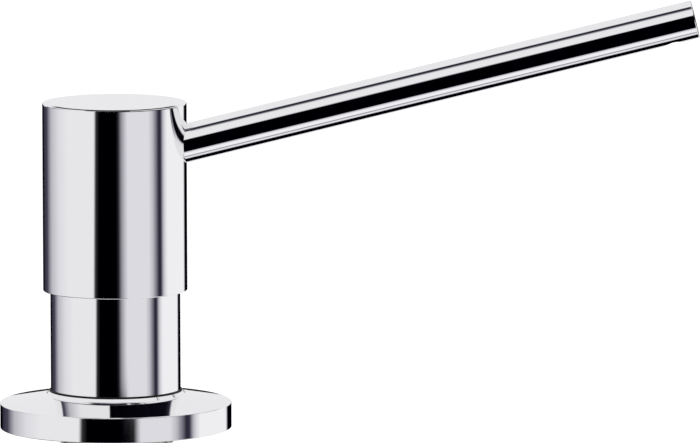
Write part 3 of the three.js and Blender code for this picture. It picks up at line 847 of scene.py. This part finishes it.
def wing_mesh(turn):
    """A wing of the nut with rounded edges, turned about the nut's axis."""
    outline = [(WING_ROOT_R, NUT_TOP_Z), (WING_TIP_R, NUT_TOP_Z)]
    outline += arc(
        WING_TIP_R - WING_ROUND, NUT_BOTTOM_Z + WING_ROUND, WING_ROUND, WING_ROUND,
        0, -90, WING_ROUND_STEPS)
    outline.append((WING_ROOT_R, NUT_BOTTOM_Z))
    wing = bmesh.new()
    half = WING_THICKNESS / 2
    front = [wing.verts.new((r * MM, -half * MM, z * MM)) for r, z in outline]
    back = [wing.verts.new((r * MM, half * MM, z * MM)) for r, z in outline]
    wing.faces.new(front)
    wing.faces.new(back[::-1])
    for i in range(len(front)):
        j = (i + 1) % len(front)
        wing.faces.new((front[i], back[i], back[j], front[j]))
    bmesh.ops.recalc_face_normals(wing, faces=wing.faces)
    rims = [
        edge for edge in wing.edges
        if edge.calc_face_angle(0) > WING_SHARP
        and max(v.co.x for v in edge.verts) > WING_BEVEL_FROM_R * MM
    ]
    bmesh.ops.bevel(wing, geom=rims, offset=WING_BEVEL * MM, segments=4, profile=0.5, affect="EDGES")
    bmesh.ops.rotate(wing, verts=wing.verts, cent=(0, 0, 0), matrix=Matrix.Rotation(turn, 3, "Z"))
    mesh = to_mesh(wing, "wing")
    shade_by_angle(mesh, degrees=40)
    return mesh


def make_nut():
    hub = turned_piece("nut_hub", [
        (SHANK_PASS_R, NUT_BOTTOM_Z, 0.6),
        (NUT_HUB_R, NUT_BOTTOM_Z, 0.8),
        (NUT_HUB_R, NUT_TOP_Z - NUT_FLANGE_HEIGHT, 0.5),
        (NUT_FLANGE_R, NUT_TOP_Z - NUT_FLANGE_HEIGHT, 0.5),
        (NUT_FLANGE_R, NUT_TOP_Z, 0.5),
        (SHANK_PASS_R, NUT_TOP_Z, 0.5),
    ], MID_SIDES, "nut", black_plastic, "black_plastic")
    for i in range(WING_COUNT):
        mesh = wing_mesh(2 * math.pi * i / WING_COUNT)
        show("nut_wing_%d" % (i + 1), mesh, "nut", black_plastic, "black_plastic")
    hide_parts("mounting_nut")


make_nut()


# Bottle

SHOULDER_STEPS = 16
BASE_ROUND_STEPS = 8
DISH_R = 24.6  # where the raised bottom starts
BOTTLE_SEAL_INNER_R = 10.9
BOTTLE_SEAL_OUTER_R = 12.5


def make_bottle():
    inner_r = BOTTLE_R - BOTTLE_WALL
    throat_z = BOTTLE_LEDGE_Z - BOTTLE_THROAT_HEIGHT - BOTTLE_WALL
    shoulder_z = throat_z - BOTTLE_SHOULDER
    floor_z = BOTTLE_BOTTOM_Z + BOTTLE_PUSH_UP
    collar_z = BOTTLE_MOUTH_Z - COLLAR_DROP
    collar_r = BOTTLE_NECK_R + COLLAR_OUT
    foot = arc(
        BOTTLE_R - BOTTLE_BASE_ROUND, BOTTLE_BOTTOM_Z + BOTTLE_BASE_ROUND,
        BOTTLE_BASE_ROUND, BOTTLE_BASE_ROUND, -90, 0, BASE_ROUND_STEPS)
    shoulder = arc(
        BOTTLE_NECK_R, shoulder_z, BOTTLE_R - BOTTLE_NECK_R, BOTTLE_SHOULDER, 0, 90, SHOULDER_STEPS)
    inner_shoulder = arc(
        BOTTLE_THROAT_R, shoulder_z, inner_r - BOTTLE_THROAT_R, BOTTLE_SHOULDER - BOTTLE_WALL,
        90, 0, SHOULDER_STEPS)
    inner_foot = arc(
        inner_r - BOTTLE_BASE_ROUND, floor_z + BOTTLE_WALL + BOTTLE_BASE_ROUND,
        BOTTLE_BASE_ROUND, BOTTLE_BASE_ROUND, 0, -90, BASE_ROUND_STEPS)
    points = [(0, floor_z), (DISH_R, floor_z, 0.8)]
    points += foot[1:] + shoulder[:-1]
    points += [
        (BOTTLE_NECK_R, throat_z, 0.8),
        (BOTTLE_NECK_R, collar_z - COLLAR_HEIGHT, 0.5),
        (collar_r, collar_z - COLLAR_HEIGHT / 2, 0.3),
        (collar_r, collar_z, 0.3),
        (BOTTLE_NECK_R, collar_z, 0.3),
        (BOTTLE_NECK_R, BOTTLE_MOUTH_Z, 0.3),
        (SHANK_PASS_R, BOTTLE_MOUTH_Z, 0.4),
        (SHANK_PASS_R, BOTTLE_LEDGE_Z, 0.2),
        (BOTTLE_THROAT_R, BOTTLE_LEDGE_Z, 0.3),
    ]
    points += inner_shoulder[1:] + inner_foot
    points.append((0, floor_z + BOTTLE_WALL))
    forms = rounded_outline(points)
    mesh = turned_mesh("bottle_shell", outline_points(forms, arc_steps=4), TUBE_SIDES)
    shade_by_angle(mesh, degrees=35)
    show("bottle_shell", mesh, "bottle", milky, "milky_plastic", "bottle")


make_bottle()
flat_ring(
    "bottle_seal_ring", BOTTLE_SEAL_INNER_R, BOTTLE_SEAL_OUTER_R, BOTTLE_LEDGE_Z, SHANK_BOTTOM_Z,
    (0.3, 0.3, 0.3, 0.3), SMALL_SIDES, "bottle", rubber, "rubber", "bottle_seal")


# Pump

TUBE_SLOPE = 1  # of its slanted foot
TUBE_STRAIGHT_Z = -170
TUBE_LEVELS = 12
TUBE_EDGE = 0.2
TAIL_EDGE_HEIGHT = 0.6
CLOSURE_SLEEVE_R = 6.2


def make_dip_tube():
    bore_r = TUBE_R - TUBE_WALL
    foot_z = TUBE_BOTTOM_Z + TUBE_R
    rise = (TUBE_TOP_Z - FIT_GAP - TUBE_STRAIGHT_Z) / TUBE_LEVELS
    made = bmesh.new()
    rings = [ring(made, TUBE_R, foot_z, HOSE_SIDES, TUBE_SLOPE)]
    for level in range(1, TUBE_LEVELS):
        rings.append(ring(made, TUBE_R, TUBE_STRAIGHT_Z + level * rise, HOSE_SIDES))
    for radius, height in [
        (TUBE_R, TUBE_TOP_Z - TUBE_EDGE),
        (TUBE_R - TUBE_EDGE, TUBE_TOP_Z),
        (bore_r + TUBE_EDGE, TUBE_TOP_Z),
        (bore_r, TUBE_TOP_Z - TUBE_EDGE),
    ]:
        rings.append(ring(made, radius, height, HOSE_SIDES))
    rings.append(ring(made, bore_r, foot_z, HOSE_SIDES, TUBE_SLOPE))
    bridge(made, rings)
    mesh = to_mesh(made, "dip_hose")
    shade_by_angle(mesh, degrees=35)
    show("dip_hose", mesh, "pump", milky_tube, "milky_plastic", "dip_tube")


make_dip_tube()

turned_piece("cylinder_shell", [
    (TAIL_BORE_R, VALVE_HOUSE_Z - TAIL_LENGTH, 0.1),
    (TAIL_R - TAIL_EDGE, VALVE_HOUSE_Z - TAIL_LENGTH, 0.1),
    (TAIL_R, VALVE_HOUSE_Z - TAIL_LENGTH + TAIL_EDGE_HEIGHT),
    (TAIL_R, VALVE_HOUSE_Z),
    (VALVE_HOUSE_R, VALVE_HOUSE_Z, 0.6),
    (VALVE_HOUSE_R, CYLINDER_FLOOR_Z - CYLINDER_WALL, 0.4),
    (CYLINDER_R, CYLINDER_FLOOR_Z, 0.6),
    (CYLINDER_R, CYLINDER_FLANGE_Z, 0.3),
    (CYLINDER_FLANGE_R, CYLINDER_FLANGE_Z, 0.2),
    (CYLINDER_FLANGE_R, CYLINDER_TOP_Z, 0.2),
    (CYLINDER_BORE_R, CYLINDER_TOP_Z, 0.2),
    (CYLINDER_BORE_R, CYLINDER_FLOOR_Z),
    (VALVE_POCKET_R, CYLINDER_FLOOR_Z),
    (VALVE_POCKET_R, VALVE_HOUSE_Z + VALVE_FLOOR + VALVE_POCKET_R - TAIL_BORE_R),
    (TAIL_BORE_R, VALVE_HOUSE_Z + VALVE_FLOOR),
], MID_SIDES, "pump", white_plastic, "white_plastic", "pump_cylinder")

turned_piece("closure_shell", [
    (STEM_PASS_R, CLOSURE_BOTTOM_Z, 0.15),
    (CLOSURE_SLEEVE_R, CLOSURE_BOTTOM_Z, 0.3),
    (CLOSURE_SLEEVE_R, CYLINDER_TOP_Z),
    (CYLINDER_FLANGE_R, CYLINDER_TOP_Z, 0.1),
    (CYLINDER_FLANGE_R, CLOSURE_TOP_Z, 0.4),
    (STEM_PASS_R, CLOSURE_TOP_Z, 0.3),
], MID_SIDES, "pump", white_plastic, "white_plastic", "pump_closure")

flat_ring(
    "closure_ring", LEDGE_BORE_R, CYLINDER_FLANGE_R, LEDGE_TOP_Z, CYLINDER_FLANGE_Z,
    (0.15, 0.2, 0.2, 0.15), SMALL_SIDES, "pump", rubber, "rubber", "closure_gasket")


def make_spring():
    """The return spring's wire on a helix. Its closed end turns lie nearer than the open ones."""
    wire_r, mean_r, end_pitch = 0.45, 5.4, 1.5
    turns, steps, sides = 9, 32, 12
    look_ahead = 0.01  # of a turn, for the wire's direction
    low, high = (corner[2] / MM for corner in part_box("return_spring"))
    foot, height = low + wire_r, high - low - 2 * wire_r
    open_pitch = (height - 2 * end_pitch) / (turns - 2)

    def centre(turn):
        from_end = min(turn, turns - turn)
        rise = min(from_end, 1) * end_pitch + max(from_end - 1, 0) * open_pitch
        if turn > turns / 2:
            rise = height - rise
        angle = 2 * math.pi * turn
        return Vector((mean_r * math.cos(angle), mean_r * math.sin(angle), foot + rise)) * MM

    made = bmesh.new()
    rings = []
    for step in range(turns * steps + 1):
        turn = step / steps
        along = (centre(turn + look_ahead) - centre(turn - look_ahead)).normalized()
        angle = 2 * math.pi * turn
        outwards = Vector((math.cos(angle), math.sin(angle), 0))
        across = along.cross(outwards).normalized()
        section = []
        for j in range(sides):
            a = 2 * math.pi * j / sides
            offset = outwards * math.cos(a) + across * math.sin(a)
            section.append(made.verts.new(centre(turn) + offset * wire_r * MM))
        rings.append(section)
    bridge(made, rings, closed=False)
    made.faces.new(rings[0])
    made.faces.new(rings[-1])
    bmesh.ops.recalc_face_normals(made, faces=made.faces)
    mesh = to_mesh(made, "spring_wire")
    shade_by_angle(mesh, degrees=50)
    spring = show("spring_wire", mesh, "pump", wire_steel, "stainless", "return_spring")
    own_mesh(spring)


make_spring()

carried = {
    "ball_cage": white_plastic,
    "inlet_ball": spun_steel,
    "stem": white_plastic,
    "stem_seal": rubber,
    "piston": white_plastic,
    "piston_seal": rubber,
    "outlet_ball": spun_steel,
    "head_core": white_plastic,
    "spout_seal": rubber,
}
for name, finish in carried.items():
    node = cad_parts[name]
    node.data.materials.clear()
    node.data.materials.append(finish)


# Floor

FLOOR_SIZE = 80
FLOOR_Z = -0.362  # just under the bottle when it is taken off downwards


def make_floor():
    bpy.ops.mesh.primitive_plane_add(size=FLOOR_SIZE, location=(0, 0, FLOOR_Z))
    floor = bpy.context.object
    floor.name = "floor"
    made, shader, nodes = material(
        "pale_floor", (0.93, 0.93, 0.935, 1), 0.0, 0.9,
        Specular_IOR_Level=0.0, Emission_Color=(1, 1, 1, 1), Emission_Strength=0.35)
    cloud = nodes.noise(scale=0.6, detail=2)
    tint = nodes.mix(cloud, (0.92, 0.92, 0.925, 1), (0.95, 0.95, 0.955, 1))
    nodes.put(shader.inputs["Base Color"], tint)
    floor.data.materials.append(made)
    floor.visible_glossy = False


# Studio

# The greys of the studio's panels and screens, all a little cool
BLACK = panel(0, 0, 3)
INK = panel(11, 9, 18)
COAL = panel(45, 43, 57)
SLATE = panel(70, 68, 82)
GREY = panel(146, 144, 154)
STEEL = panel(165, 163, 173)
SILVER = panel(184, 183, 190)
PALE = panel(219, 218, 223)
BRIGHT = panel(230, 230, 232)
WHITE = panel(238, 238, 240)
# The panels at eye level and higher up. A row holds the turn in degrees to the right of the
# photo's viewpoint and the grey there, and the light changes evenly from row to row.
LEVEL_PANELS = [
    (-157, BLACK),
    (-153.5, COAL),
    (-137, SLATE),
    (-127.5, GREY),
    (-121, SILVER),
    (-100, PALE),
    (-80, BRIGHT),
    (-20, BRIGHT),
    (6, COAL),
    (16, SILVER),
    (21.5, PALE),
    (56.5, PALE),
    (64.5, SILVER),
    (68, GREY),
    (75, COAL),
    (79, COAL),
    (80.5, SLATE),
    (83, GREY),
    (85, SILVER),
    (89.5, PALE),
    (94.5, WHITE),
    (143, WHITE),
    (147, SILVER),
    (149.5, BLACK),
]
HIGH_PANELS = [
    (-127, BRIGHT),
    (-121.5, SLATE),
    (-115.5, SLATE),
    (-106, GREY),
    (-98.5, SILVER),
    (-70, BRIGHT),
    (-12, BRIGHT),
    (-10, BLACK),
    (112, INK),
    (125, COAL),
    (129.5, GREY),
    (133, PALE),
    (137, BRIGHT),
]
# The table's rows hold how far a direction points to the viewpoint, plus the shift
TABLE_SHIFT = 0.2
TABLE_PANELS = [
    (0.085, BLACK),
    (0.105, PALE),
    (0.35, PALE),
    (0.36, GREY),
    (0.47, GREY),
    (0.49, WHITE),
    (0.78, WHITE),
    (0.88, SILVER),
    (0.93, STEEL),
]


class Studio(Nodes):
    """Nodes of the world, with the measures that its panels lie by. For each direction these are
    its height z, how far it points to the right of the photo's viewpoint (aside), towards it
    (ahead) and away from it, and its turn about the vertical, as a share and in degrees."""

    def __init__(self, tree):
        super().__init__(tree)
        split = self.new("ShaderNodeSeparateXYZ")
        self.put(split.inputs[0], self.new("ShaderNodeTexCoord").outputs["Generated"])
        x, y, self.z = split.outputs
        turn = math.radians(CAMERA_TURN)
        self.aside = self.plus(self.times(x, math.cos(turn)), self.times(y, math.sin(turn)))
        self.away = self.minus(self.times(y, math.cos(turn)), self.times(x, math.sin(turn)))
        self.ahead = self.times(self.away, -1.0)
        angle = self.math("ARCTAN2", self.aside, self.ahead)
        self.share = self.plus(self.math("DIVIDE", angle, 2 * math.pi), 0.5)
        self.degrees = self.times(angle, 180 / math.pi)

    def panels(self, rows):
        return self.ramp(self.share, [((turn + 180) / 360, grey) for turn, grey in rows])

    def front_screen(self):
        """The black screen in front. Its left edge leans, and its foot reaches further right."""
        left, right, foot_reach = -30.6, 7.2, 14.8
        lean, level_left = 190.0, -7.3
        left_edge = self.math("MINIMUM", self.scaled(self.z, lean, level_left), left)
        foot = self.times(self.smooth(self.z, -0.1430, -0.1438), foot_reach)
        right_edge = self.plus(foot, right)
        past_left = self.minus(self.degrees, left_edge)
        paler_edge = self.scaled(self.smooth(past_left, 8, 0.5), -0.04, 1.0)
        in_left = self.times(self.smooth(past_left, -2.5, 2.5), paler_edge)
        return self.times(in_left, self.smooth(self.minus(right_edge, self.degrees), -5.0, 4.5))

    def level_view(self, screen):
        view = self.mix(screen, self.panels(LEVEL_PANELS), BLACK)
        low_right = self.times(self.smooth(self.z, -0.17, -0.2), self.smooth(self.degrees, 30, 45))
        return self.mix(low_right, view, BRIGHT)

    def high_view(self, screen):
        screen_top = self.smooth(self.z, 0.44, 0.4)
        return self.mix(self.times(screen, screen_top), self.panels(HIGH_PANELS), BLACK)

    def climb(self):
        """How far the high panels have taken over. They reach lower behind, and start softly in
        front."""
        drop_behind = 0.14
        behind = self.smooth(self.away, 0.6, 0.85)
        raised = self.plus(self.z, self.times(behind, drop_behind))
        in_front = self.times(self.smooth(self.z, -0.07, 0.15), self.smooth(self.ahead, 0.0, 0.2))
        return self.larger(self.smooth(raised, 0.115, 0.15), in_front)

    def ceiling(self):
        """The pale ceiling. Its edge has a soft hump at the front right and is lower at the back."""
        edge_z, hump_height, drop_aback = 0.5, 0.22, 0.035
        soft, hump_soft = 0.011, 0.08
        hump = self.between(self.degrees, 5, 25, 45, 80)
        edge = self.scaled(hump, hump_height, edge_z)
        spread = self.scaled(hump, hump_soft, soft)
        aback = self.smooth(self.absolute(self.degrees), 100, 120)
        above = self.plus(self.minus(self.z, edge), self.times(aback, drop_aback))
        return self.smooth(self.math("DIVIDE", above, spread), -1, 1)

    def overhead_gap(self):
        """A dark gap that runs overhead and down to the back on both sides. It is slimmer on the
        right and lower down."""
        bend, shift, horizon = 1.0076, 0.1219, -0.9925
        line = self.scaled(self.times(self.z, self.plus(self.z, shift)), bend, horizon)
        past = self.times(self.minus(self.ahead, line), 0.5)
        wide = self.absolute(self.aside)
        to_side = self.larger(self.smooth(wide, 0.12, 0.24), self.smooth(self.z, 0.88, 0.92))
        slim = self.larger(self.smooth(self.aside, 0.12, 0.25), self.smooth(self.z, 0.62, 0.56))
        off = self.math("DIVIDE", self.absolute(past), self.scaled(slim, -0.6, 1.0))
        core = self.times(self.smooth(off, 0.07, 0.045), to_side, self.smooth(wide, 0.45, 0.36))
        # near the middle it fades out slowly towards the camera
        fade = self.times(
            self.between(past, -0.01, 0.01, 0.06, 0.26),
            self.between(wide, 0.12, 0.2, 0.35, 0.5),
            self.smooth(self.aside, 0.25, 0.12))
        gap = self.times(self.larger(core, fade), self.smooth(self.z, 0.41, 0.46))
        # its other end, which the spout's root sees in the head's side
        end = self.times(
            self.between(self.z, 0.922, 0.936, 0.953, 0.962),
            self.between(self.ahead, 0.06, 0.1, 0.34, 0.42),
            self.smooth(self.aside, 0.04, 0.1))
        return self.larger(gap, end)

    def back_sill(self):
        """A low dark sill straight behind."""
        to_left = 0.017
        near_middle = self.smooth(self.absolute(self.plus(self.aside, to_left)), 0.03, 0.02)
        height = self.between(self.z, 0.154, 0.168, 0.3, 0.36)
        return self.times(height, near_middle, self.smooth(self.away, 0.5, 0.6))

    def table(self):
        """A table under the object: pale in front and black behind."""
        place = self.plus(self.ahead, TABLE_SHIFT)
        return self.ramp(place, TABLE_PANELS)


def make_world():
    """A studio of pale panels and black screens round the object, seen in its gloss. Everything
    else gets a plain soft light, and the picture's ground is white."""
    world = bpy.data.worlds.new("studio")
    scene.world = world
    world.use_nodes = True
    world.node_tree.nodes.clear()
    studio = Studio(world.node_tree)
    screen = studio.front_screen()
    view = studio.mix(studio.climb(), studio.level_view(screen), studio.high_view(screen))
    view = studio.mix(studio.ceiling(), view, BRIGHT)
    view = studio.mix(studio.overhead_gap(), view, COAL)
    view = studio.mix(studio.back_sill(), view, INK)
    under = studio.smooth(studio.z, -0.68, -0.70)
    view = studio.mix(under, view, studio.table())
    white = (1, 1, 1, 1)
    path = studio.new("ShaderNodeLightPath")
    light = studio.choose(
        path.outputs["Is Glossy Ray"], studio.background(white, strength=0.78), studio.background(view))
    light = studio.choose(path.outputs["Is Camera Ray"], light, studio.background(white))
    output = studio.new("ShaderNodeOutputWorld")
    studio.put(output.inputs["Surface"], light)


# Lamps and camera

LAMP_AIM = Vector((0, 0, -0.05))
CAMERA_LENS = 691.6
CAMERA_PITCH = 7.4975
CAMERA_ROLL = -0.1625
CAMERA_DISTANCE = 2.902
CAMERA_AIM_RIGHT = 0.050722
CAMERA_AIM_Z = 0.044578


def make_lamp(name, place, size, power):
    lamp = bpy.data.lights.new(name, "AREA")
    lamp.shape = "DISK"
    lamp.size = size
    lamp.energy = power
    item = bpy.data.objects.new(name, lamp)
    item.location = place
    item.rotation_euler = (LAMP_AIM - Vector(place)).to_track_quat("-Z", "Y").to_euler()
    item.visible_glossy = False
    scene.collection.objects.link(item)


def make_camera():
    lens = bpy.data.cameras.new("camera")
    lens.sensor_fit = "HORIZONTAL"
    lens.sensor_width = 36
    lens.lens = CAMERA_LENS
    lens.clip_end = 100
    camera = bpy.data.objects.new("camera", lens)
    scene.collection.objects.link(camera)
    turn, pitch = math.radians(CAMERA_TURN), math.radians(CAMERA_PITCH)
    right = Vector((math.cos(turn), math.sin(turn), 0))
    look = Vector((
        -math.sin(turn) * math.cos(pitch), math.cos(turn) * math.cos(pitch), -math.sin(pitch)))
    target = right * CAMERA_AIM_RIGHT + Vector((0, 0, CAMERA_AIM_Z))
    camera.location = target - look * CAMERA_DISTANCE
    facing = look.to_track_quat("-Z", "Y").to_matrix().to_4x4()
    roll = Matrix.Rotation(math.radians(CAMERA_ROLL), 4, "Z")
    camera.rotation_euler = (facing @ roll).to_euler()
    scene.camera = camera


make_floor()
make_world()
make_lamp("key_lamp", (-1.1, -1.6, 2.2), size=1.6, power=34)
make_lamp("fill_lamp", (1.8, -0.9, 1.2), size=1.4, power=10)
make_camera()
scene.view_settings.view_transform = "Standard"
